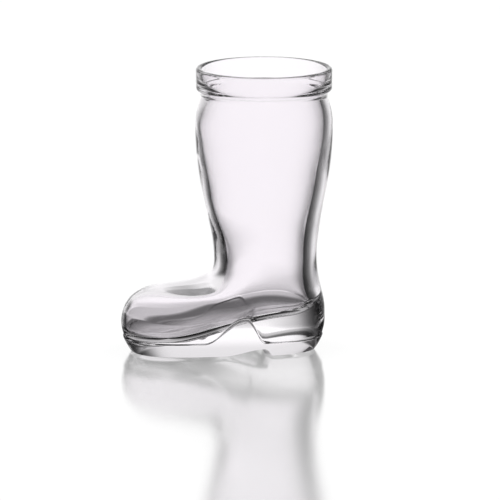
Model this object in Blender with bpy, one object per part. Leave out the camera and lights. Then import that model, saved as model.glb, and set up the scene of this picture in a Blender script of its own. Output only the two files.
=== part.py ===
"""A boot-shaped shot glass, pressed in one piece of clear glass.

It stands on its sole at Z = 0 with the toe towards -X, in metres. The glass is one closed skin
through rings of points: up the inside from the toe pocket to the lip, over the lip, down the
outside to the welt line, and in under the sole. In the mesh the leg's axis is the Z axis.
"""

import bpy
import numpy as np

MM = 0.001

# Overall sizes
HEIGHT = 84.6 * MM
RIM_RADIUS = 20.0 * MM
TOE_REACH = 42.85 * MM          # from the leg's axis to the toe tip
HEEL_REACH = 18.5 * MM          # from the leg's axis to the back of the heel
FOOT_HALF_WIDTH = 15.0 * MM

# Leg, outside. Drops are measured down from the rim, heights up from the ground.
COLLAR_DROP = 6.9 * MM
COLLAR_ROUNDING = 1.1 * MM
COLLAR_TURN = np.pi / 2.4       # how far the collar's lower edge turns under
COLLAR_TAPER = 2.2              # power: how late the bore narrows below the lip
NECK_DROP = 8.4 * MM
NECK_RADIUS = 18.55 * MM
CALF_DROP = 16.8 * MM
CALF_RADIUS = 20.25 * MM
CALF_SWELL = 1.85               # power: how soon the leg swells below the neck
LEG_TAPER = 1.2                 # power: how late it narrows below the calf
ANKLE_HEIGHT = 27.8 * MM
ANKLE_RADIUS = 15.2 * MM
ANKLE_SHIFT = 0.4 * MM          # the ankle's middle, behind the leg's axis

# Sole. The welt is the line between the foot and its sole, which stands out a little. Below its widest
# height the foot's side leans in more and more, down to the edge of the bottom.
WELT_HEIGHT = 4.5 * MM
WELT_LEDGE = 0.42 * MM
WELT_LEDGE_HEIGHT = 1.1 * MM
WIDEST_HEIGHT = 9.95 * MM
BOTTOM_EDGE = 0.5 * MM          # height of the bottom's edge above its flat middle
BOTTOM_LEAN = 3.2 * MM          # how far the side leans in, from the widest height to that edge
BOTTOM_ROUNDING = 3.6 * MM      # from the edge in to the flat middle
BOTTOM_FULLNESS = 0.75          # share of the edge's height where its curve aims, before it turns flat
ARCH_RISE = 7.2 * MM            # of the welt over the shank
ARCH_CENTRE = -6.3 * MM
ARCH_FRONT_LENGTH = 12.5 * MM   # from the arch's top to where it starts, towards the toe
ARCH_BACK_LENGTH = 6.0 * MM     # and towards the heel
ARCH_ONSET = 2                  # power: how late the foot's rings follow the arch on their way down
SHANK_RISE = 2.3 * MM           # of the bottom under the shank
SHANK_FRONT = -13.0 * MM
BREAST_TOP = 0.3 * MM           # the heel's front face, top and foot
BREAST_FOOT = 3.6 * MM

# Walls
LIP_WALL = 1.7 * MM
NECK_WALL = 2.5 * MM
CALF_FRONT_WALL = 1.7 * MM
CALF_SIDE_WALL = 2.2 * MM
CALF_BACK_WALL = 2.6 * MM
SHIN_FRONT_WALL = 2.55 * MM
SHIN_SIDE_WALL = 3.1 * MM
SHIN_BACK_WALL = 3.4 * MM
BEND_FRONT_WALL = 3.65 * MM     # where the shin turns towards the instep
ANKLE_FRONT_WALL = 3.92 * MM
ANKLE_SIDE_WALL = 4.0 * MM
ANKLE_BACK_WALL = 4.0 * MM
SHIN_SHARE = 0.5                # shares of the way from calf to ankle
BEND_START = 0.64
BEND_END = 0.96
INSTEP_WALL = 2.75 * MM
TOE_WALL = 2.0 * MM
INSTEP_WALL_START = 0.6         # shares of the way from ankle to toe
TOE_WALL_START = 0.45
SIDE_WALL = 3.4 * MM
HEEL_WALL = 5.65 * MM
TOE_FLOOR = 4.15 * MM           # glass under the toe pocket
HEEL_FLOOR = 11.5 * MM          # glass under the heel end of the cavity
FLOOR_RAMP_START = -31.6 * MM   # where the cavity's floor starts to climb, and where it stops
FLOOR_RAMP_END = 6.2 * MM
POCKET_CORNER = 3.9 * MM        # height of the rounding round the cavity's floor
POCKET_INSET = 6.1 * MM         # and its width
POCKET_BLEND = 1.9 * MM         # softness of the bend from the wall to the floor

# Rings between the ankle and the welt. Each row gives shares of the way from ankle to welt: how far
# the front has gone out to the toe, how high the front, the sides and the back still are, and how
# far the back has gone out to the heel.
FOOT_RINGS = (
    (0.018, 0.852, 0.825, 0.820, 0.14),
    (0.129, 0.734, 0.642, 0.660, 0.38),
    (0.402, 0.655, 0.467, 0.511, 0.69),
    (0.697, 0.607, 0.319, 0.371, 0.93),
    (0.893, 0.476, 0.205, 0.258, 0.98),
    (0.985, 0.258, 0.100, 0.135, 1.00),
    (1.000, 0.000, 0.000, 0.000, 1.00),
)
FOOT_FULLNESS = 0.5             # blunts the toe and heel of a ring, against an ellipse
FOOT_TOE_BIAS = 0.09            # makes a ring wider at the toe than at the heel

# Columns of a ring's row
FRONT_X, FRONT_Z, BACK_X, BACK_Z, SIDE_Y, SIDE_Z, FULLNESS, TOE_BIAS, ARCH = range(9)
FRONT_WALL, SIDE_WALLS, BACK_WALL = range(9, 12)

# Control rows of the leg, from neck to calf and from calf to ankle
NECK_ROWS = 3
LEG_ROWS = 8

# Mesh density
AROUND = 48
OUTSIDE_RINGS = 30
INSIDE_RINGS = 26
COLLAR_RINGS = 5
LIP_RINGS = 7
UNDER_RINGS = 3
CORNER_RINGS = 5
LEDGE_RINGS = 2
SIDE_RINGS = 3
SOLE_RINGS = 3

GLASS_COLOUR = (0.98, 0.965, 0.985, 1.0)
GLASS_IOR = 1.51


def smoothstep(value, start, end):
    """0 before start, 1 after end, and an easy curve between."""
    share = np.clip((value - start) / (end - start), 0.0, 1.0)
    return share * share * (3.0 - 2.0 * share)


def spline(knots, values, at):
    """Natural cubic spline through rows of values."""
    gaps = np.diff(knots)[:, None]
    slopes = np.diff(values, axis=0) / gaps
    system = np.eye(len(knots))
    right = np.zeros_like(values)
    for i in range(1, len(knots) - 1):
        before, after = gaps[i - 1, 0], gaps[i, 0]
        system[i, i - 1:i + 2] = before, 2.0 * (before + after), after
        right[i] = 6.0 * (slopes[i] - slopes[i - 1])
    bends = np.linalg.solve(system, right)
    span = np.clip(np.searchsorted(knots, at) - 1, 0, len(knots) - 2)
    gap = gaps[span]
    done = (at - knots[span])[:, None]
    left = gap - done
    curve = (bends[span] * left**3 + bends[span + 1] * done**3) / (6.0 * gap)
    start = (values[span] / gap - bends[span] * gap / 6.0) * left
    end = (values[span + 1] / gap - bends[span + 1] * gap / 6.0) * done
    return curve + start + end


def resample(rows, count):
    """Rows spread evenly along the spline through the given ones."""
    rows = np.array(rows)
    steps = np.linalg.norm(np.diff(rows[:, FRONT_X:FULLNESS], axis=0), axis=1)
    knots = np.concatenate([[0.0], np.cumsum(steps)])
    return spline(knots, rows, np.linspace(0.0, knots[-1], count))


def round_row(radius, height, shift=0.0, walls=(0.0, 0.0, 0.0)):
    """Row of a round ring of the leg, with its front, side and back walls."""
    return [shift - radius, height, shift + radius, height, radius, height, 0.0, 0.0, 0.0, *walls]


def arch(x):
    """Rise of the welt over the shank."""
    length = np.where(x < ARCH_CENTRE, ARCH_FRONT_LENGTH, ARCH_BACK_LENGTH)
    share = np.clip((x - ARCH_CENTRE) / length, -1.0, 1.0)
    return ARCH_RISE * np.cos(share * np.pi / 2.0) ** 2


def ground_gap(x):
    """Height of the bottom above the ground: nothing under the ball and heel, some at the shank."""
    climb = smoothstep(x, SHANK_FRONT, BREAST_TOP)
    return SHANK_RISE * climb * (1.0 - smoothstep(x, BREAST_TOP, BREAST_FOOT))


def cavity_floor(x):
    """Height of the cavity's floor, which climbs from the toe to the heel."""
    climb = smoothstep(x, FLOOR_RAMP_START, FLOOR_RAMP_END)
    return TOE_FLOOR + (HEEL_FLOOR - TOE_FLOOR) * climb


def ring_points(row, angles):
    """Points of a ring, from the front round the near side to the back and on."""
    across, along = np.sin(angles), np.cos(angles)
    x = (row[FRONT_X] + row[BACK_X]) / 2.0 - (row[BACK_X] - row[FRONT_X]) / 2.0 * along
    y = -row[SIDE_Y] * across * (1.0 + row[TOE_BIAS] * along + row[FULLNESS] * along**2)
    tilt = (row[FRONT_Z] - row[BACK_Z]) / 2.0
    ends = (row[FRONT_Z] + row[BACK_Z]) / 2.0 - row[SIDE_Z]
    z = row[SIDE_Z] + tilt * along + ends * along**2 + row[ARCH] * arch(x)
    return np.stack([x, y, z], axis=1)


def outside_rows():
    """Control rows from the neck down to the welt."""
    neck, calf = HEIGHT - NECK_DROP, HEIGHT - CALF_DROP
    neck_walls = np.full(3, NECK_WALL)
    calf_walls = np.array([CALF_FRONT_WALL, CALF_SIDE_WALL, CALF_BACK_WALL])
    shin_walls = np.array([SHIN_FRONT_WALL, SHIN_SIDE_WALL, SHIN_BACK_WALL])
    bend_walls = np.array([BEND_FRONT_WALL, ANKLE_SIDE_WALL, ANKLE_BACK_WALL])
    ankle_walls = np.array([ANKLE_FRONT_WALL, ANKLE_SIDE_WALL, ANKLE_BACK_WALL])
    bend_starts = np.array([BEND_START, SHIN_SHARE, SHIN_SHARE])
    rows = [round_row(NECK_RADIUS, neck, 0.0, neck_walls)]
    for share in np.linspace(0.0, 1.0, NECK_ROWS + 1)[1:-1]:
        swell = 1.0 - (1.0 - share) ** CALF_SWELL
        radius = NECK_RADIUS + (CALF_RADIUS - NECK_RADIUS) * swell
        walls = neck_walls + (calf_walls - neck_walls) * share
        rows.append(round_row(radius, neck + (calf - neck) * share, 0.0, walls))
    for share in np.linspace(0.0, 1.0, LEG_ROWS + 1)[:-1]:
        radius = CALF_RADIUS + (ANKLE_RADIUS - CALF_RADIUS) * smoothstep(share**LEG_TAPER, 0.0, 1.0)
        walls = calf_walls + (shin_walls - calf_walls) * smoothstep(share, 0.0, SHIN_SHARE)
        walls += (bend_walls - shin_walls) * smoothstep(share, bend_starts, BEND_END)
        shift = ANKLE_SHIFT * smoothstep(share, SHIN_SHARE, 1.0)
        rows.append(round_row(radius, calf + (ANKLE_HEIGHT - calf) * share, shift, walls))
    rows.append(round_row(ANKLE_RADIUS, ANKLE_HEIGHT, ANKLE_SHIFT, ankle_walls))
    foot = WELT_HEIGHT + WELT_LEDGE_HEIGHT
    drop = ANKLE_HEIGHT - foot
    front, back = ANKLE_SHIFT - ANKLE_RADIUS, ANKLE_SHIFT + ANKLE_RADIUS
    for number, (reach, top, side, rear, heel) in enumerate(FOOT_RINGS, start=1):
        share = number / len(FOOT_RINGS)
        toe_wall = INSTEP_WALL + (TOE_WALL - INSTEP_WALL) * smoothstep(reach, TOE_WALL_START, 1.0)
        rows.append([
            front - (TOE_REACH - WELT_LEDGE + front) * reach,
            foot + drop * top,
            back + (HEEL_REACH - WELT_LEDGE - back) * heel,
            foot + drop * rear,
            ANKLE_RADIUS + (FOOT_HALF_WIDTH - WELT_LEDGE - ANKLE_RADIUS) * share,
            foot + drop * side,
            FOOT_FULLNESS * share,
            FOOT_TOE_BIAS * share,
            share**ARCH_ONSET,
            ANKLE_FRONT_WALL + (toe_wall - ANKLE_FRONT_WALL) * smoothstep(reach, 0.0, INSTEP_WALL_START),
            ANKLE_SIDE_WALL + (SIDE_WALL - ANKLE_SIDE_WALL) * share,
            ANKLE_BACK_WALL + (HEEL_WALL - ANKLE_BACK_WALL) * share,
        ])
    return rows


def inward(x, z):
    """Unit vectors square to a curve in the XZ plane that runs downwards, to its right."""
    along = np.stack([np.gradient(x), np.gradient(z)], axis=1)
    along /= np.linalg.norm(along, axis=1)[:, None]
    return along[:, 1], -along[:, 0]


def inside_rows(outside):
    """Rows of the cavity's wall: the outside's, moved in by the wall."""
    rows = outside.copy()
    right_x, right_z = inward(outside[:, FRONT_X], outside[:, FRONT_Z])
    rows[:, FRONT_X] -= right_x * outside[:, FRONT_WALL]
    rows[:, FRONT_Z] -= right_z * outside[:, FRONT_WALL]
    right_x, right_z = inward(outside[:, BACK_X], outside[:, BACK_Z])
    rows[:, BACK_X] += right_x * outside[:, BACK_WALL]
    rows[:, BACK_Z] += right_z * outside[:, BACK_WALL]
    rows[:, SIDE_Y] -= outside[:, SIDE_WALLS]
    rows[:, ARCH] = 0.0
    return rows


def inside_ring(row, angles):
    """Ring of the cavity's wall, which never comes below the rounding round its floor."""
    points = ring_points(row, angles)
    lowest = cavity_floor(points[:, 0]) + POCKET_CORNER
    above = (points[:, 2] - lowest) / POCKET_BLEND
    points[:, 2] = lowest + POCKET_BLEND * np.logaddexp(0.0, above)
    return points


def pocket_rings(wall, angles):
    """Rounding from the cavity's wall to its floor, from the floor up."""
    rings = []
    for turn in np.linspace(np.pi / 2.0, 0.0, CORNER_RINGS):
        row = wall.copy()
        inset = POCKET_INSET * (1.0 - np.cos(turn))
        row[FRONT_X] += inset
        row[BACK_X] -= inset
        row[SIDE_Y] -= inset
        points = ring_points(row, angles)
        points[:, 2] = cavity_floor(points[:, 0]) + POCKET_CORNER * (1.0 - np.sin(turn))
        rings.append(points)
    return rings


def collar_rings(angles):
    """Collar, from the neck inside, up over the lip and down to the neck outside."""
    throat = NECK_RADIUS - NECK_WALL
    bore = RIM_RADIUS - LIP_WALL
    half = LIP_WALL / 2.0
    profile = []
    for share in np.linspace(1.0, half / NECK_DROP, COLLAR_RINGS + 2)[1:-1]:
        narrowing = smoothstep(share**COLLAR_TAPER, 0.0, 1.0)
        profile.append((bore + (throat - bore) * narrowing, HEIGHT - NECK_DROP * share))
    for turn in np.linspace(np.pi, 0.0, LIP_RINGS):
        profile.append((RIM_RADIUS - half + half * np.cos(turn), HEIGHT - half + half * np.sin(turn)))
    edge = HEIGHT - COLLAR_DROP + COLLAR_ROUNDING
    for turn in np.linspace(0.0, -COLLAR_TURN, UNDER_RINGS):
        radius = RIM_RADIUS - COLLAR_ROUNDING * (1.0 - np.cos(turn))
        profile.append((radius, edge + COLLAR_ROUNDING * np.sin(turn)))
    return [ring_points(round_row(radius, height), angles) for radius, height in profile]


def lean(height):
    """How far the foot's side has come in at a height."""
    share = np.maximum(WIDEST_HEIGHT - height, 0.0) / (WIDEST_HEIGHT - BOTTOM_EDGE)
    return BOTTOM_LEAN * share**2


def moved_in(ring, inset, height):
    """A ring drawn in on all sides, at new heights."""
    x, y = ring[:, 0], ring[:, 1]
    middle = (x.min() + x.max()) / 2.0
    half_length = (x.max() - x.min()) / 2.0
    new_x = middle + (x - middle) * (1.0 - inset / half_length)
    return np.stack([new_x, y * (1.0 - inset / y.max()), height], axis=1)


def outside_ring(row, angles):
    """Ring of the outside, from the neck to the welt."""
    points = ring_points(row, angles)
    return moved_in(points, lean(points[:, 2]), points[:, 2])


def ledge_rings(welt):
    """Sole's upper edge, which stands out a little beyond the foot."""
    rings = []
    for share in np.linspace(0.0, 1.0, LEDGE_RINGS + 1)[1:]:
        height = welt[:, 2] - WELT_LEDGE_HEIGHT * share
        rings.append(moved_in(welt, lean(height) - WELT_LEDGE * share**2, height))
    return rings


def sole_rings(welt):
    """Sole, from its upper edge down the leaning side, round the edge and in to the flat bottom."""
    bottom = ground_gap(welt[:, 0])
    top = welt[:, 2] - WELT_LEDGE_HEIGHT
    edge = bottom + BOTTOM_EDGE
    rings = []
    for share in np.linspace(0.0, 1.0, SIDE_RINGS + 1)[1:]:
        height = top + (edge - top) * share
        rings.append(moved_in(welt, lean(height) - WELT_LEDGE, height))
    edge_inset = lean(edge) - WELT_LEDGE
    steepness = 2.0 * BOTTOM_LEAN / (WIDEST_HEIGHT - BOTTOM_EDGE)
    drop = BOTTOM_FULLNESS * BOTTOM_EDGE
    for share in np.linspace(0.0, 1.0, SOLE_RINGS + 1)[1:]:
        before, corner, after = (1.0 - share) ** 2, 2.0 * share * (1.0 - share), share**2
        inset = edge_inset + corner * steepness * drop + after * BOTTOM_ROUNDING
        rings.append(moved_in(welt, inset, bottom + before * BOTTOM_EDGE + corner * (BOTTOM_EDGE - drop)))
    return rings


def glass_rings():
    """Every ring of the glass, from the cavity's floor to the bottom of the sole."""
    angles = np.linspace(0.0, 2.0 * np.pi, AROUND, endpoint=False)
    control = outside_rows()
    outside = resample(control, OUTSIDE_RINGS)
    inside = inside_rows(resample(control[:-1], INSIDE_RINGS))
    rings = pocket_rings(inside[-1], angles)
    rings += [inside_ring(row, angles) for row in inside[::-1]]
    rings += collar_rings(angles)
    rings += [outside_ring(row, angles) for row in outside]
    welt = ring_points(outside[-1], angles)
    rings += ledge_rings(welt)
    rings += sole_rings(welt)
    return rings


def strips(first, facing_up):
    """Faces across a ring, each from one side of the foot to the other."""
    faces = []
    for i in range(AROUND // 2):
        near = (first + i, first + i + 1)
        far = (first + (AROUND - i - 1) % AROUND, first + (AROUND - i) % AROUND)
        corners = list(dict.fromkeys(near + far))
        faces.append(corners if facing_up else corners[::-1])
    return faces


def loft(rings):
    """Vertices and faces of the closed skin through the rings."""
    faces = strips(0, True)
    for number in range(len(rings) - 1):
        this, following = number * AROUND, (number + 1) * AROUND
        for i in range(AROUND):
            j = (i + 1) % AROUND
            faces.append((this + i, following + i, following + j, this + j))
    faces += strips((len(rings) - 1) * AROUND, False)
    return np.concatenate(rings).tolist(), faces


def glass_material():
    material = bpy.data.materials.new("clear_glass")
    material.use_nodes = True
    shader = material.node_tree.nodes["Principled BSDF"]
    shader.inputs["Base Color"].default_value = GLASS_COLOUR
    shader.inputs["Metallic"].default_value = 0.0
    shader.inputs["Roughness"].default_value = 0.0
    shader.inputs["IOR"].default_value = GLASS_IOR
    shader.inputs["Transmission Weight"].default_value = 1.0
    return material


def boot_glass(collection):
    """The glass, placed so that the middle of its box stands on the origin."""
    mesh = bpy.data.meshes.new("boot_glass")
    vertices, faces = loft(glass_rings())
    mesh.from_pydata(vertices, [], faces)
    mesh.polygons.foreach_set("use_smooth", [True] * len(mesh.polygons))
    mesh.materials.append(glass_material())
    glass = bpy.data.objects.new("boot_glass", mesh)
    collection.objects.link(glass)
    lengths = [vertex[0] for vertex in vertices]
    glass.location.x = -(min(lengths) + max(lengths)) / 2.0
    return glass


def main():
    for old in list(bpy.data.objects):
        bpy.data.objects.remove(old)
    collection = bpy.data.collections.new("boot_shot_glass")
    bpy.context.scene.collection.children.link(collection)
    boot_glass(collection)


main()
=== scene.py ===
"""Looks of the boot shot glass: clear pressed glass before a bright backdrop, on a glossy white floor.

The glass is built here again at a fine density, from the same sizes and curves as the CAD part,
because light bends at every facet that a coarse mesh leaves.
"""

import math

import bpy
import numpy as np
from mathutils import Matrix, Vector


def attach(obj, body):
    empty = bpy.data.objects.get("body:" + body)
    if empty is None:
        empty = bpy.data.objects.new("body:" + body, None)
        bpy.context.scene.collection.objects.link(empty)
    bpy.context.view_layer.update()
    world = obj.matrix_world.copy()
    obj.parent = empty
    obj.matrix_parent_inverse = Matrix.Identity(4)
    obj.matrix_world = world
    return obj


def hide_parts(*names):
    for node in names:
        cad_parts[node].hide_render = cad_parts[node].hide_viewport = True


MM = 0.001

# Overall sizes
HEIGHT = 84.6 * MM
RIM_RADIUS = 20.0 * MM
TOE_REACH = 42.85 * MM          # from the leg's axis to the toe tip
HEEL_REACH = 18.5 * MM          # from the leg's axis to the back of the heel
FOOT_HALF_WIDTH = 15.0 * MM

# Leg, outside. Drops are measured down from the rim, heights up from the ground.
COLLAR_DROP = 6.9 * MM
COLLAR_ROUNDING = 1.1 * MM
COLLAR_TURN = np.pi / 2.4       # how far the collar's lower edge turns under
COLLAR_TAPER = 2.2              # power: how late the bore narrows below the lip
NECK_DROP = 8.4 * MM
NECK_RADIUS = 18.55 * MM
CALF_DROP = 16.8 * MM
CALF_RADIUS = 20.25 * MM
CALF_SWELL = 1.85               # power: how soon the leg swells below the neck
LEG_TAPER = 1.2                 # power: how late it narrows below the calf
ANKLE_HEIGHT = 27.8 * MM
ANKLE_RADIUS = 15.2 * MM
ANKLE_SHIFT = 0.4 * MM          # the ankle's middle, behind the leg's axis

# Sole. The welt is the line between the foot and its sole, which stands out a little. Below its widest
# height the foot's side leans in more and more, down to the edge of the bottom.
WELT_HEIGHT = 4.5 * MM
WELT_LEDGE = 0.42 * MM
WELT_LEDGE_HEIGHT = 1.1 * MM
WIDEST_HEIGHT = 9.95 * MM
BOTTOM_EDGE = 0.5 * MM          # height of the bottom's edge above its flat middle
BOTTOM_LEAN = 3.2 * MM          # how far the side leans in, from the widest height to that edge
BOTTOM_ROUNDING = 3.6 * MM      # from the edge in to the flat middle
BOTTOM_FULLNESS = 0.75          # share of the edge's height where its curve aims, before it turns flat
ARCH_RISE = 7.2 * MM            # of the welt over the shank
ARCH_CENTRE = -6.3 * MM
ARCH_FRONT_LENGTH = 12.5 * MM   # from the arch's top to where it starts, towards the toe
ARCH_BACK_LENGTH = 6.0 * MM     # and towards the heel
ARCH_ONSET = 2                  # power: how late the foot's rings follow the arch on their way down
SHANK_RISE = 2.3 * MM           # of the bottom under the shank
SHANK_FRONT = -13.0 * MM
BREAST_TOP = 0.3 * MM           # the heel's front face, top and foot
BREAST_FOOT = 3.6 * MM

# Walls
LIP_WALL = 1.7 * MM
NECK_WALL = 2.5 * MM
CALF_FRONT_WALL = 1.7 * MM
CALF_SIDE_WALL = 2.2 * MM
CALF_BACK_WALL = 2.6 * MM
SHIN_FRONT_WALL = 2.55 * MM
SHIN_SIDE_WALL = 3.1 * MM
SHIN_BACK_WALL = 3.4 * MM
BEND_FRONT_WALL = 3.65 * MM     # where the shin turns towards the instep
ANKLE_FRONT_WALL = 3.92 * MM
ANKLE_SIDE_WALL = 4.0 * MM
ANKLE_BACK_WALL = 4.0 * MM
SHIN_SHARE = 0.5                # shares of the way from calf to ankle
BEND_START = 0.64
BEND_END = 0.96
INSTEP_WALL = 2.75 * MM
TOE_WALL = 2.0 * MM
INSTEP_WALL_START = 0.6         # shares of the way from ankle to toe
TOE_WALL_START = 0.45
SIDE_WALL = 3.4 * MM
HEEL_WALL = 5.65 * MM
TOE_FLOOR = 4.15 * MM           # glass under the toe pocket
HEEL_FLOOR = 11.5 * MM          # glass under the heel end of the cavity
FLOOR_RAMP_START = -31.6 * MM   # where the cavity's floor starts to climb, and where it stops
FLOOR_RAMP_END = 6.2 * MM
POCKET_CORNER = 3.9 * MM        # height of the rounding round the cavity's floor
POCKET_INSET = 6.1 * MM         # and its width
POCKET_BLEND = 1.9 * MM         # softness of the bend from the wall to the floor

# Rings between the ankle and the welt. Each row gives shares of the way from ankle to welt: how far
# the front has gone out to the toe, how high the front, the sides and the back still are, and how
# far the back has gone out to the heel.
FOOT_RINGS = (
    (0.018, 0.852, 0.825, 0.820, 0.14),
    (0.129, 0.734, 0.642, 0.660, 0.38),
    (0.402, 0.655, 0.467, 0.511, 0.69),
    (0.697, 0.607, 0.319, 0.371, 0.93),
    (0.893, 0.476, 0.205, 0.258, 0.98),
    (0.985, 0.258, 0.100, 0.135, 1.00),
    (1.000, 0.000, 0.000, 0.000, 1.00),
)
FOOT_FULLNESS = 0.5             # blunts the toe and heel of a ring, against an ellipse
FOOT_TOE_BIAS = 0.09            # makes a ring wider at the toe than at the heel

# Columns of a ring's row
FRONT_X, FRONT_Z, BACK_X, BACK_Z, SIDE_Y, SIDE_Z, FULLNESS, TOE_BIAS, ARCH = range(9)
FRONT_WALL, SIDE_WALLS, BACK_WALL = range(9, 12)

# Control rows of the leg, from neck to calf and from calf to ankle
NECK_ROWS = 3
LEG_ROWS = 8

# Mesh density
AROUND = 240
OUTSIDE_RINGS = 200
INSIDE_RINGS = 170
COLLAR_RINGS = 20
LIP_RINGS = 21
UNDER_RINGS = 8
CORNER_RINGS = 32
LEDGE_RINGS = 10
SIDE_RINGS = 24
SOLE_RINGS = 16

# Camera. Azimuths are in degrees, and grow towards the toe's side.
FRAME_PIXELS = 500
PIXELS_PER_METRE = 3385.0
CAMERA_AZIMUTH = -4.0
CAMERA_ELEVATION = 12.0
CAMERA_DISTANCE = 1.2
CAMERA_TARGET = Vector((0.0069, 0.0, 0.0299))
SENSOR_WIDTH = 36.0

# Backdrop. It is white straight behind the glass and falls off to black flags at the sides. Its half
# widths change from low to high between two elevations.
LEFT_HALF_WIDTHS = (20.5, 60.0)
LEFT_ELEVATIONS = (2.0, 30.0)
RIGHT_HALF_WIDTHS = (27.5, 23.0)
RIGHT_ELEVATIONS = (-6.0, 8.0)
FALL_OFF = 4.3                  # power: how sharply it turns dark past its half widths
BACKDROP_TOP = (4.0, 16.0)      # elevations between which it falls off upwards
TOP_TONE = 0.78                 # share of its brightness that is left above those
FLAG_TONE = 0.01
BACKDROP_TONE = 1.12
ROOM_TONE = 0.8                 # what matt surfaces get

# White panels stand behind the glass as the other views see it, at even steps round it. Only light
# that goes straight through reaches them. Those next to the backdrop are lower than the others.
PANEL_STEP = 45.0
PANEL_SIDES = (15.0, 22.0)      # degrees from a panel's middle to where its edge starts and ends
PANEL_TOPS = (-24.0, 12.0)      # elevations of the low panels' and the others' upper edges
PANEL_FADE = 6.0
LOW_PANELS = (60.0, 70.0)       # the panels up to these azimuths are the low ones

# Floor
FLOOR_HALF_SIZE = 3.0
FLOOR_GAP = 0.2 * MM
FLOOR_WHITE = 1.4
FLOOR_MIRROR = 0.72             # share of the mirror in what the camera sees, against plain white
FLOOR_ROUGHNESS = 0.14
CONTACT_TONE = 0.8              # of the soft shadow where the glass stands
CONTACT_REACH = (10.0 * MM, 34.0 * MM)

# The floor's shade under and round the glass, as light inside the glass meets it. It starts from the
# tone in the middle, and each step changes that between two distances.
SHADE_MIDDLE = 0.47
SHADE_STEPS = (
    (13.6 * MM, 25.5 * MM, -0.33),
    (31.2 * MM, 48.0 * MM, 0.41),
    (48.0 * MM, 134.0 * MM, 0.45),
)
SHADE_STRETCH = 1.6             # the shade is longer than wide, like the foot

GLASS_COLOUR = (0.995, 0.971, 0.998, 1.0)
GLASS_IOR = 1.51
WAVES_PER_METRE = 130.0         # the faint waves that the mould leaves in the glass
WAVE_DETAIL = 1.0
WAVE_HEIGHT = 0.025 * MM
LIGHT_BOUNCES = 32


def smoothstep(value, start, end):
    """0 before start, 1 after end, and an easy curve between."""
    share = np.clip((value - start) / (end - start), 0.0, 1.0)
    return share * share * (3.0 - 2.0 * share)


def spline(knots, values, at):
    """Natural cubic spline through rows of values."""
    gaps = np.diff(knots)[:, None]
    slopes = np.diff(values, axis=0) / gaps
    system = np.eye(len(knots))
    right = np.zeros_like(values)
    for i in range(1, len(knots) - 1):
        before, after = gaps[i - 1, 0], gaps[i, 0]
        system[i, i - 1:i + 2] = before, 2.0 * (before + after), after
        right[i] = 6.0 * (slopes[i] - slopes[i - 1])
    bends = np.linalg.solve(system, right)
    span = np.clip(np.searchsorted(knots, at) - 1, 0, len(knots) - 2)
    gap = gaps[span]
    done = (at - knots[span])[:, None]
    left = gap - done
    curve = (bends[span] * left**3 + bends[span + 1] * done**3) / (6.0 * gap)
    start = (values[span] / gap - bends[span] * gap / 6.0) * left
    end = (values[span + 1] / gap - bends[span + 1] * gap / 6.0) * done
    return curve + start + end


def resample(rows, count):
    """Rows spread evenly along the spline through the given ones."""
    rows = np.array(rows)
    steps = np.linalg.norm(np.diff(rows[:, FRONT_X:FULLNESS], axis=0), axis=1)
    knots = np.concatenate([[0.0], np.cumsum(steps)])
    return spline(knots, rows, np.linspace(0.0, knots[-1], count))


def round_row(radius, height, shift=0.0, walls=(0.0, 0.0, 0.0)):
    """Row of a round ring of the leg, with its front, side and back walls."""
    return [shift - radius, height, shift + radius, height, radius, height, 0.0, 0.0, 0.0, *walls]


def arch(x):
    """Rise of the welt over the shank."""
    length = np.where(x < ARCH_CENTRE, ARCH_FRONT_LENGTH, ARCH_BACK_LENGTH)
    share = np.clip((x - ARCH_CENTRE) / length, -1.0, 1.0)
    return ARCH_RISE * np.cos(share * np.pi / 2.0) ** 2


def ground_gap(x):
    """Height of the bottom above the ground: nothing under the ball and heel, some at the shank."""
    climb = smoothstep(x, SHANK_FRONT, BREAST_TOP)
    return SHANK_RISE * climb * (1.0 - smoothstep(x, BREAST_TOP, BREAST_FOOT))


def cavity_floor(x):
    """Height of the cavity's floor, which climbs from the toe to the heel."""
    climb = smoothstep(x, FLOOR_RAMP_START, FLOOR_RAMP_END)
    return TOE_FLOOR + (HEEL_FLOOR - TOE_FLOOR) * climb


def ring_points(row, angles):
    """Points of a ring, from the front round the near side to the back and on."""
    across, along = np.sin(angles), np.cos(angles)
    x = (row[FRONT_X] + row[BACK_X]) / 2.0 - (row[BACK_X] - row[FRONT_X]) / 2.0 * along
    y = -row[SIDE_Y] * across * (1.0 + row[TOE_BIAS] * along + row[FULLNESS] * along**2)
    tilt = (row[FRONT_Z] - row[BACK_Z]) / 2.0
    ends = (row[FRONT_Z] + row[BACK_Z]) / 2.0 - row[SIDE_Z]
    z = row[SIDE_Z] + tilt * along + ends * along**2 + row[ARCH] * arch(x)
    return np.stack([x, y, z], axis=1)


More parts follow.
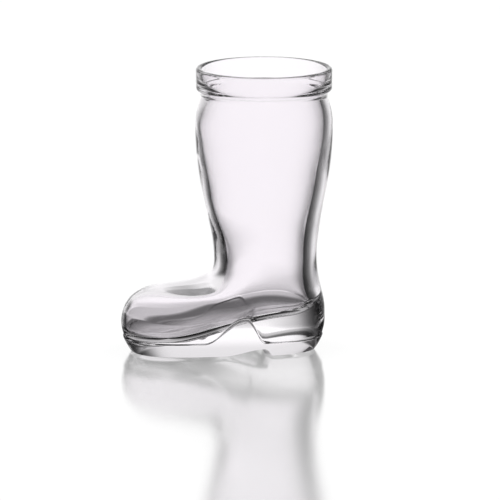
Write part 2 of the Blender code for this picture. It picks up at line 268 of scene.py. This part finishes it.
def outside_rows():
    """Control rows from the neck down to the welt."""
    neck, calf = HEIGHT - NECK_DROP, HEIGHT - CALF_DROP
    neck_walls = np.full(3, NECK_WALL)
    calf_walls = np.array([CALF_FRONT_WALL, CALF_SIDE_WALL, CALF_BACK_WALL])
    shin_walls = np.array([SHIN_FRONT_WALL, SHIN_SIDE_WALL, SHIN_BACK_WALL])
    bend_walls = np.array([BEND_FRONT_WALL, ANKLE_SIDE_WALL, ANKLE_BACK_WALL])
    ankle_walls = np.array([ANKLE_FRONT_WALL, ANKLE_SIDE_WALL, ANKLE_BACK_WALL])
    bend_starts = np.array([BEND_START, SHIN_SHARE, SHIN_SHARE])
    rows = [round_row(NECK_RADIUS, neck, 0.0, neck_walls)]
    for share in np.linspace(0.0, 1.0, NECK_ROWS + 1)[1:-1]:
        swell = 1.0 - (1.0 - share) ** CALF_SWELL
        radius = NECK_RADIUS + (CALF_RADIUS - NECK_RADIUS) * swell
        walls = neck_walls + (calf_walls - neck_walls) * share
        rows.append(round_row(radius, neck + (calf - neck) * share, 0.0, walls))
    for share in np.linspace(0.0, 1.0, LEG_ROWS + 1)[:-1]:
        radius = CALF_RADIUS + (ANKLE_RADIUS - CALF_RADIUS) * smoothstep(share**LEG_TAPER, 0.0, 1.0)
        walls = calf_walls + (shin_walls - calf_walls) * smoothstep(share, 0.0, SHIN_SHARE)
        walls += (bend_walls - shin_walls) * smoothstep(share, bend_starts, BEND_END)
        shift = ANKLE_SHIFT * smoothstep(share, SHIN_SHARE, 1.0)
        rows.append(round_row(radius, calf + (ANKLE_HEIGHT - calf) * share, shift, walls))
    rows.append(round_row(ANKLE_RADIUS, ANKLE_HEIGHT, ANKLE_SHIFT, ankle_walls))
    foot = WELT_HEIGHT + WELT_LEDGE_HEIGHT
    drop = ANKLE_HEIGHT - foot
    front, back = ANKLE_SHIFT - ANKLE_RADIUS, ANKLE_SHIFT + ANKLE_RADIUS
    for number, (reach, top, side, rear, heel) in enumerate(FOOT_RINGS, start=1):
        share = number / len(FOOT_RINGS)
        toe_wall = INSTEP_WALL + (TOE_WALL - INSTEP_WALL) * smoothstep(reach, TOE_WALL_START, 1.0)
        rows.append([
            front - (TOE_REACH - WELT_LEDGE + front) * reach,
            foot + drop * top,
            back + (HEEL_REACH - WELT_LEDGE - back) * heel,
            foot + drop * rear,
            ANKLE_RADIUS + (FOOT_HALF_WIDTH - WELT_LEDGE - ANKLE_RADIUS) * share,
            foot + drop * side,
            FOOT_FULLNESS * share,
            FOOT_TOE_BIAS * share,
            share**ARCH_ONSET,
            ANKLE_FRONT_WALL + (toe_wall - ANKLE_FRONT_WALL) * smoothstep(reach, 0.0, INSTEP_WALL_START),
            ANKLE_SIDE_WALL + (SIDE_WALL - ANKLE_SIDE_WALL) * share,
            ANKLE_BACK_WALL + (HEEL_WALL - ANKLE_BACK_WALL) * share,
        ])
    return rows


def inward(x, z):
    """Unit vectors square to a curve in the XZ plane that runs downwards, to its right."""
    along = np.stack([np.gradient(x), np.gradient(z)], axis=1)
    along /= np.linalg.norm(along, axis=1)[:, None]
    return along[:, 1], -along[:, 0]


def inside_rows(outside):
    """Rows of the cavity's wall: the outside's, moved in by the wall."""
    rows = outside.copy()
    right_x, right_z = inward(outside[:, FRONT_X], outside[:, FRONT_Z])
    rows[:, FRONT_X] -= right_x * outside[:, FRONT_WALL]
    rows[:, FRONT_Z] -= right_z * outside[:, FRONT_WALL]
    right_x, right_z = inward(outside[:, BACK_X], outside[:, BACK_Z])
    rows[:, BACK_X] += right_x * outside[:, BACK_WALL]
    rows[:, BACK_Z] += right_z * outside[:, BACK_WALL]
    rows[:, SIDE_Y] -= outside[:, SIDE_WALLS]
    rows[:, ARCH] = 0.0
    return rows


def inside_ring(row, angles):
    """Ring of the cavity's wall, which never comes below the rounding round its floor."""
    points = ring_points(row, angles)
    lowest = cavity_floor(points[:, 0]) + POCKET_CORNER
    above = (points[:, 2] - lowest) / POCKET_BLEND
    points[:, 2] = lowest + POCKET_BLEND * np.logaddexp(0.0, above)
    return points


def pocket_rings(wall, angles):
    """Rounding from the cavity's wall to its floor, from the floor up."""
    rings = []
    for turn in np.linspace(np.pi / 2.0, 0.0, CORNER_RINGS):
        row = wall.copy()
        inset = POCKET_INSET * (1.0 - np.cos(turn))
        row[FRONT_X] += inset
        row[BACK_X] -= inset
        row[SIDE_Y] -= inset
        points = ring_points(row, angles)
        points[:, 2] = cavity_floor(points[:, 0]) + POCKET_CORNER * (1.0 - np.sin(turn))
        rings.append(points)
    return rings


def collar_rings(angles):
    """Collar, from the neck inside, up over the lip and down to the neck outside."""
    throat = NECK_RADIUS - NECK_WALL
    bore = RIM_RADIUS - LIP_WALL
    half = LIP_WALL / 2.0
    profile = []
    for share in np.linspace(1.0, half / NECK_DROP, COLLAR_RINGS + 2)[1:-1]:
        narrowing = smoothstep(share**COLLAR_TAPER, 0.0, 1.0)
        profile.append((bore + (throat - bore) * narrowing, HEIGHT - NECK_DROP * share))
    for turn in np.linspace(np.pi, 0.0, LIP_RINGS):
        profile.append((RIM_RADIUS - half + half * np.cos(turn), HEIGHT - half + half * np.sin(turn)))
    edge = HEIGHT - COLLAR_DROP + COLLAR_ROUNDING
    for turn in np.linspace(0.0, -COLLAR_TURN, UNDER_RINGS):
        radius = RIM_RADIUS - COLLAR_ROUNDING * (1.0 - np.cos(turn))
        profile.append((radius, edge + COLLAR_ROUNDING * np.sin(turn)))
    return [ring_points(round_row(radius, height), angles) for radius, height in profile]


def lean(height):
    """How far the foot's side has come in at a height."""
    share = np.maximum(WIDEST_HEIGHT - height, 0.0) / (WIDEST_HEIGHT - BOTTOM_EDGE)
    return BOTTOM_LEAN * share**2


def moved_in(ring, inset, height):
    """A ring drawn in on all sides, at new heights."""
    x, y = ring[:, 0], ring[:, 1]
    middle = (x.min() + x.max()) / 2.0
    half_length = (x.max() - x.min()) / 2.0
    new_x = middle + (x - middle) * (1.0 - inset / half_length)
    return np.stack([new_x, y * (1.0 - inset / y.max()), height], axis=1)


def outside_ring(row, angles):
    """Ring of the outside, from the neck to the welt."""
    points = ring_points(row, angles)
    return moved_in(points, lean(points[:, 2]), points[:, 2])


def ledge_rings(welt):
    """Sole's upper edge, which stands out a little beyond the foot."""
    rings = []
    for share in np.linspace(0.0, 1.0, LEDGE_RINGS + 1)[1:]:
        height = welt[:, 2] - WELT_LEDGE_HEIGHT * share
        rings.append(moved_in(welt, lean(height) - WELT_LEDGE * share**2, height))
    return rings


def sole_rings(welt):
    """Sole, from its upper edge down the leaning side, round the edge and in to the flat bottom."""
    bottom = ground_gap(welt[:, 0])
    top = welt[:, 2] - WELT_LEDGE_HEIGHT
    edge = bottom + BOTTOM_EDGE
    rings = []
    for share in np.linspace(0.0, 1.0, SIDE_RINGS + 1)[1:]:
        height = top + (edge - top) * share
        rings.append(moved_in(welt, lean(height) - WELT_LEDGE, height))
    edge_inset = lean(edge) - WELT_LEDGE
    steepness = 2.0 * BOTTOM_LEAN / (WIDEST_HEIGHT - BOTTOM_EDGE)
    drop = BOTTOM_FULLNESS * BOTTOM_EDGE
    for share in np.linspace(0.0, 1.0, SOLE_RINGS + 1)[1:]:
        before, corner, after = (1.0 - share) ** 2, 2.0 * share * (1.0 - share), share**2
        inset = edge_inset + corner * steepness * drop + after * BOTTOM_ROUNDING
        rings.append(moved_in(welt, inset, bottom + before * BOTTOM_EDGE + corner * (BOTTOM_EDGE - drop)))
    return rings


def glass_rings():
    """Every ring of the glass, from the cavity's floor to the bottom of the sole."""
    angles = np.linspace(0.0, 2.0 * np.pi, AROUND, endpoint=False)
    control = outside_rows()
    outside = resample(control, OUTSIDE_RINGS)
    inside = inside_rows(resample(control[:-1], INSIDE_RINGS))
    rings = pocket_rings(inside[-1], angles)
    rings += [inside_ring(row, angles) for row in inside[::-1]]
    rings += collar_rings(angles)
    rings += [outside_ring(row, angles) for row in outside]
    welt = ring_points(outside[-1], angles)
    rings += ledge_rings(welt)
    rings += sole_rings(welt)
    return rings


def strips(first, facing_up):
    """Faces across a ring, each from one side of the foot to the other."""
    faces = []
    for i in range(AROUND // 2):
        near = (first + i, first + i + 1)
        far = (first + (AROUND - i - 1) % AROUND, first + (AROUND - i) % AROUND)
        corners = list(dict.fromkeys(near + far))
        faces.append(corners if facing_up else corners[::-1])
    return faces


def loft(rings):
    """Vertices and faces of the closed skin through the rings."""
    faces = strips(0, True)
    for number in range(len(rings) - 1):
        this, following = number * AROUND, (number + 1) * AROUND
        for i in range(AROUND):
            j = (i + 1) % AROUND
            faces.append((this + i, following + i, following + j, this + j))
    faces += strips((len(rings) - 1) * AROUND, False)
    return np.concatenate(rings).tolist(), faces


class Nodes:
    """Short ways to add and link nodes of one tree."""

    def __init__(self, tree):
        tree.nodes.clear()
        self.tree = tree

    def add(self, kind, **settings):
        node = self.tree.nodes.new(kind)
        for name, value in settings.items():
            setattr(node, name, value)
        return node

    def put(self, value, socket):
        if isinstance(value, bpy.types.NodeSocket):
            self.tree.links.new(value, socket)
        else:
            socket.default_value = value

    def math(self, operation, first, second=0.0):
        node = self.add("ShaderNodeMath", operation=operation)
        self.put(first, node.inputs[0])
        self.put(second, node.inputs[1])
        return node.outputs[0]

    def ramp(self, value, ends, low=0.0, high=1.0):
        """An easy curve from low, at the first end, to high, at the second."""
        node = self.add("ShaderNodeMapRange", interpolation_type="SMOOTHSTEP")
        self.put(value, node.inputs["Value"])
        self.put(ends[0], node.inputs["From Min"])
        self.put(ends[1], node.inputs["From Max"])
        self.put(low, node.inputs["To Min"])
        self.put(high, node.inputs["To Max"])
        return node.outputs["Result"]

    def mix_shaders(self, share, first, second):
        node = self.add("ShaderNodeMixShader")
        self.put(share, node.inputs[0])
        self.put(first, node.inputs[1])
        self.put(second, node.inputs[2])
        return node.outputs[0]


def backdrop(nodes, azimuth, elevation):
    """White behind the glass, falling off to black flags at its sides and to grey at the top."""
    left = nodes.ramp(elevation, LEFT_ELEVATIONS, *LEFT_HALF_WIDTHS)
    right = nodes.ramp(elevation, RIGHT_ELEVATIONS, *RIGHT_HALF_WIDTHS)
    left_share = nodes.math("DIVIDE", azimuth, left)
    right_share = nodes.math("DIVIDE", nodes.math("MULTIPLY", azimuth, -1.0), right)
    aside = nodes.math("POWER", nodes.math("MAXIMUM", left_share, right_share), FALL_OFF)
    white = nodes.math("DIVIDE", 1.0, nodes.math("ADD", 1.0, aside))
    return nodes.math("MULTIPLY", white, nodes.ramp(elevation, BACKDROP_TOP, 1.0, TOP_TONE))


def panels(nodes, azimuth, elevation, path):
    """White panels round the glass, for light that no surface has mirrored on its way."""
    aside = nodes.math("PINGPONG", azimuth, PANEL_STEP / 2.0)
    panel = nodes.ramp(aside, PANEL_SIDES, 1.0, 0.0)
    top = nodes.ramp(nodes.math("ABSOLUTE", azimuth), LOW_PANELS, *PANEL_TOPS)
    edge = (top, nodes.math("ADD", top, PANEL_FADE))
    panel = nodes.math("MULTIPLY", panel, nodes.ramp(elevation, edge, 1.0, 0.0))
    return nodes.math("MULTIPLY", panel, nodes.math("LESS_THAN", path.outputs["Glossy Depth"], 0.5))


def sky(nodes, path):
    """White for what the floor mirrors. The floor's mirror is rougher than the glass, so not singular."""
    return nodes.math("SUBTRACT", path.outputs["Is Glossy Ray"], path.outputs["Is Singular Ray"])


def studio_tone(nodes, path):
    """Brightness of the studio by direction, as the glass and the floor see it."""
    direction = nodes.add("ShaderNodeSeparateXYZ")
    nodes.put(nodes.add("ShaderNodeTexCoord").outputs["Generated"], direction.inputs[0])
    to_left = nodes.math("MULTIPLY", direction.outputs["X"], -1.0)
    azimuth = nodes.math("DEGREES", nodes.math("ARCTAN2", to_left, direction.outputs["Y"]))
    elevation = nodes.math("DEGREES", nodes.math("ARCSINE", direction.outputs["Z"]))
    white = backdrop(nodes, azimuth, elevation)
    white = nodes.math("MAXIMUM", white, panels(nodes, azimuth, elevation, path))
    white = nodes.math("MAXIMUM", white, sky(nodes, path))
    span = nodes.math("MULTIPLY", white, BACKDROP_TONE - FLAG_TONE)
    return nodes.math("ADD", span, FLAG_TONE)


def make_world():
    """Studio that glass sees, with plain white for the camera and an even level for matt surfaces."""
    world = bpy.data.worlds.new("studio")
    world.use_nodes = True
    bpy.context.scene.world = world
    nodes = Nodes(world.node_tree)
    path = nodes.add("ShaderNodeLightPath")
    in_glass = nodes.math("MAXIMUM", path.outputs["Is Transmission Ray"], path.outputs["Is Glossy Ray"])
    to_white = nodes.math("MULTIPLY", path.outputs["Is Camera Ray"], 1.0 - ROOM_TONE)
    mix = nodes.add("ShaderNodeMix", data_type="FLOAT")
    nodes.put(in_glass, mix.inputs["Factor"])
    nodes.put(nodes.math("ADD", to_white, ROOM_TONE), mix.inputs["A"])
    nodes.put(studio_tone(nodes, path), mix.inputs["B"])
    background = nodes.add("ShaderNodeBackground")
    nodes.put(mix.outputs["Result"], background.inputs["Color"])
    output = nodes.add("ShaderNodeOutputWorld")
    nodes.put(background.outputs[0], output.inputs[0])


def floor_material():
    """Glossy white to the camera. Light on its way through the glass meets the shade round it."""
    material = bpy.data.materials.new("floor")
    material.use_nodes = True
    nodes = Nodes(material.node_tree)
    place = nodes.add("ShaderNodeSeparateXYZ")
    nodes.put(nodes.add("ShaderNodeNewGeometry").outputs["Position"], place.inputs[0])
    along = nodes.math("DIVIDE", place.outputs["X"], SHADE_STRETCH)
    squares = nodes.math("MULTIPLY", along, along)
    squares = nodes.math("ADD", squares, nodes.math("MULTIPLY", place.outputs["Y"], place.outputs["Y"]))
    distance = nodes.math("SQRT", squares)
    white = nodes.add("ShaderNodeEmission")
    strength = nodes.ramp(distance, CONTACT_REACH, FLOOR_WHITE * CONTACT_TONE, FLOOR_WHITE)
    nodes.put(strength, white.inputs["Strength"])
    mirror = nodes.add("ShaderNodeBsdfGlossy")
    nodes.put(FLOOR_ROUGHNESS, mirror.inputs["Roughness"])
    surface = nodes.mix_shaders(FLOOR_MIRROR, white.outputs[0], mirror.outputs[0])
    shade = nodes.add("ShaderNodeBsdfTransparent")
    tone = SHADE_MIDDLE
    for start, end, change in SHADE_STEPS:
        tone = nodes.math("ADD", nodes.ramp(distance, (start, end), 0.0, change), tone)
    nodes.put(tone, shade.inputs["Color"])
    seen = nodes.add("ShaderNodeLightPath").outputs["Is Camera Ray"]
    output = nodes.add("ShaderNodeOutputMaterial")
    nodes.put(nodes.mix_shaders(seen, shade.outputs[0], surface), output.inputs[0])
    return material


def make_floor():
    """Wide floor, a little below the glass so that the two don't touch."""
    size = FLOOR_HALF_SIZE
    corners = [(-size, -size, 0.0), (size, -size, 0.0), (size, size, 0.0), (-size, size, 0.0)]
    mesh = bpy.data.meshes.new("floor")
    mesh.from_pydata(corners, [], [(0, 1, 2, 3)])
    mesh.materials.append(floor_material())
    floor = bpy.data.objects.new("floor", mesh)
    floor.location.z = -FLOOR_GAP
    bpy.context.scene.collection.objects.link(floor)


def let_light_bounce():
    """Thick glass mirrors light inside it more often than the usual limits allow."""
    light = bpy.context.scene.cycles
    light.max_bounces = LIGHT_BOUNCES
    light.glossy_bounces = LIGHT_BOUNCES
    light.transmission_bounces = LIGHT_BOUNCES


def make_camera():
    """Camera at the photograph's viewing angle."""
    camera = bpy.data.cameras.new("camera")
    camera.sensor_width = SENSOR_WIDTH
    camera.lens = SENSOR_WIDTH * CAMERA_DISTANCE * PIXELS_PER_METRE / FRAME_PIXELS
    viewer = bpy.data.objects.new("camera", camera)
    azimuth, elevation = math.radians(CAMERA_AZIMUTH), math.radians(CAMERA_ELEVATION)
    level = math.cos(elevation)
    back = Vector((math.sin(azimuth) * level, -math.cos(azimuth) * level, math.sin(elevation)))
    viewer.location = CAMERA_TARGET + back * CAMERA_DISTANCE
    viewer.rotation_euler = (-back).to_track_quat("-Z", "Y").to_euler()
    bpy.context.scene.collection.objects.link(viewer)
    bpy.context.scene.camera = viewer


def glass_material():
    """Clear glass with the mould's faint waves on its surface."""
    material = bpy.data.materials.new("clear_glass")
    material.use_nodes = True
    nodes = Nodes(material.node_tree)
    waves = nodes.add("ShaderNodeTexNoise")
    nodes.put(nodes.add("ShaderNodeTexCoord").outputs["Object"], waves.inputs["Vector"])
    nodes.put(WAVES_PER_METRE, waves.inputs["Scale"])
    nodes.put(WAVE_DETAIL, waves.inputs["Detail"])
    bump = nodes.add("ShaderNodeBump")
    nodes.put(WAVE_HEIGHT, bump.inputs["Distance"])
    nodes.put(waves.outputs["Fac"], bump.inputs["Height"])
    shader = nodes.add("ShaderNodeBsdfPrincipled")
    nodes.put(GLASS_COLOUR, shader.inputs["Base Color"])
    nodes.put(0.0, shader.inputs["Metallic"])
    nodes.put(0.0, shader.inputs["Roughness"])
    nodes.put(GLASS_IOR, shader.inputs["IOR"])
    nodes.put(1.0, shader.inputs["Transmission Weight"])
    nodes.put(bump.outputs[0], shader.inputs["Normal"])
    nodes.put(shader.outputs[0], nodes.add("ShaderNodeOutputMaterial").inputs[0])
    return material


def make_glass():
    """The glass at a fine density, in the place of its CAD solid."""
    vertices, faces = loft(glass_rings())
    mesh = bpy.data.meshes.new("clear_boot")
    mesh.from_pydata(vertices, [], faces)
    mesh.polygons.foreach_set("use_smooth", [True] * len(mesh.polygons))
    lengths = [vertex[0] for vertex in vertices]
    mesh.transform(Matrix.Translation((-(min(lengths) + max(lengths)) / 2.0, 0.0, 0.0)))
    mesh.materials.append(glass_material())
    glass = bpy.data.objects.new("clear_boot", mesh)
    bpy.context.scene.collection.objects.link(glass)
    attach(glass, "root")
    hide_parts("boot_glass")


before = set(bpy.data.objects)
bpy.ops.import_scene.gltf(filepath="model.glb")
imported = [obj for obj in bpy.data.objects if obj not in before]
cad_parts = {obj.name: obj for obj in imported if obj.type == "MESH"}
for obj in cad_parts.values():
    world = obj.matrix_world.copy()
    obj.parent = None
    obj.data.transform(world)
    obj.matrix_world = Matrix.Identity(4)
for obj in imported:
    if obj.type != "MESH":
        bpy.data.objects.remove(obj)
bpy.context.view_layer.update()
bpy.context.scene.view_settings.view_transform = "Standard"
let_light_bounce()
make_camera()
make_world()
make_floor()
make_glass()
